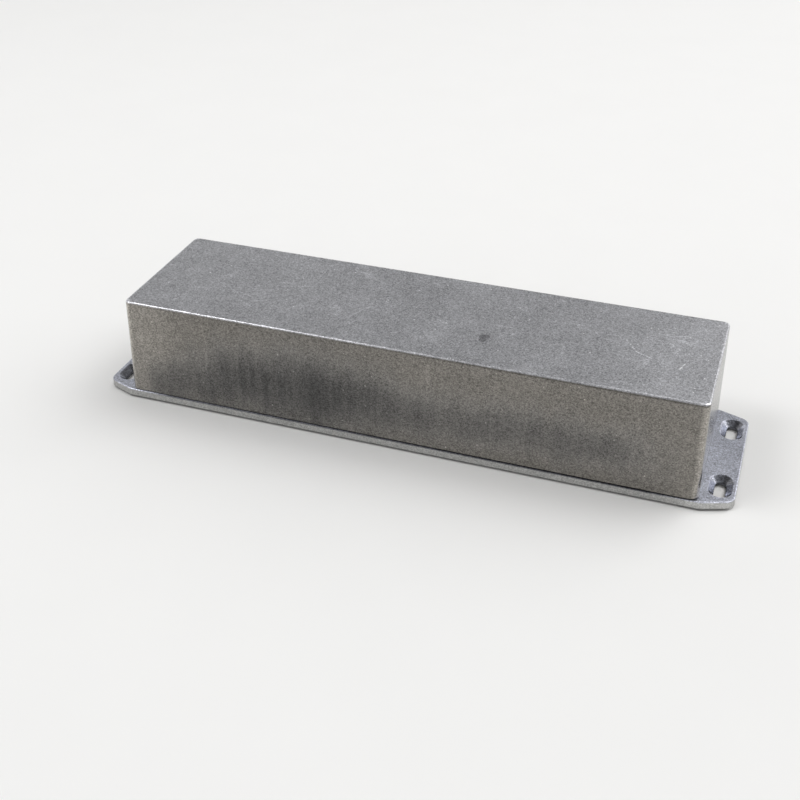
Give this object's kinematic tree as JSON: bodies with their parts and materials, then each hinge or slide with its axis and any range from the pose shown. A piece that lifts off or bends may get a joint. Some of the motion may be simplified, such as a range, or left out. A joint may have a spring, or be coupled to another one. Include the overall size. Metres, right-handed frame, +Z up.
{
  "type": "flanged die cast enclosure",
  "caption": "Long die cast aluminium box with leaning sides, closed from below by a screwed lid that runs out past its ends as a mounting flange with countersunk slots.",
  "frame": {"origin": "centre of the lid's flat underside, on the surface that the enclosure stands on", "axes": "+X along the box towards one flange, +Y across the box, +Z up from the lid to the closed top"},
  "size_m": [0.285, 0.0714, 0.0491],
  "materials": {
    "box_casting": "as cast, tumbled",
    "lid_casting": "as cast, tumbled",
    "screw_steel": "zinc plated"
  },
  "bodies": {
    "root": {"box_body": "box_casting", "flanged_lid": "lid_casting", "lid_screws": "screw_steel"}
  },
  "joints": []
}
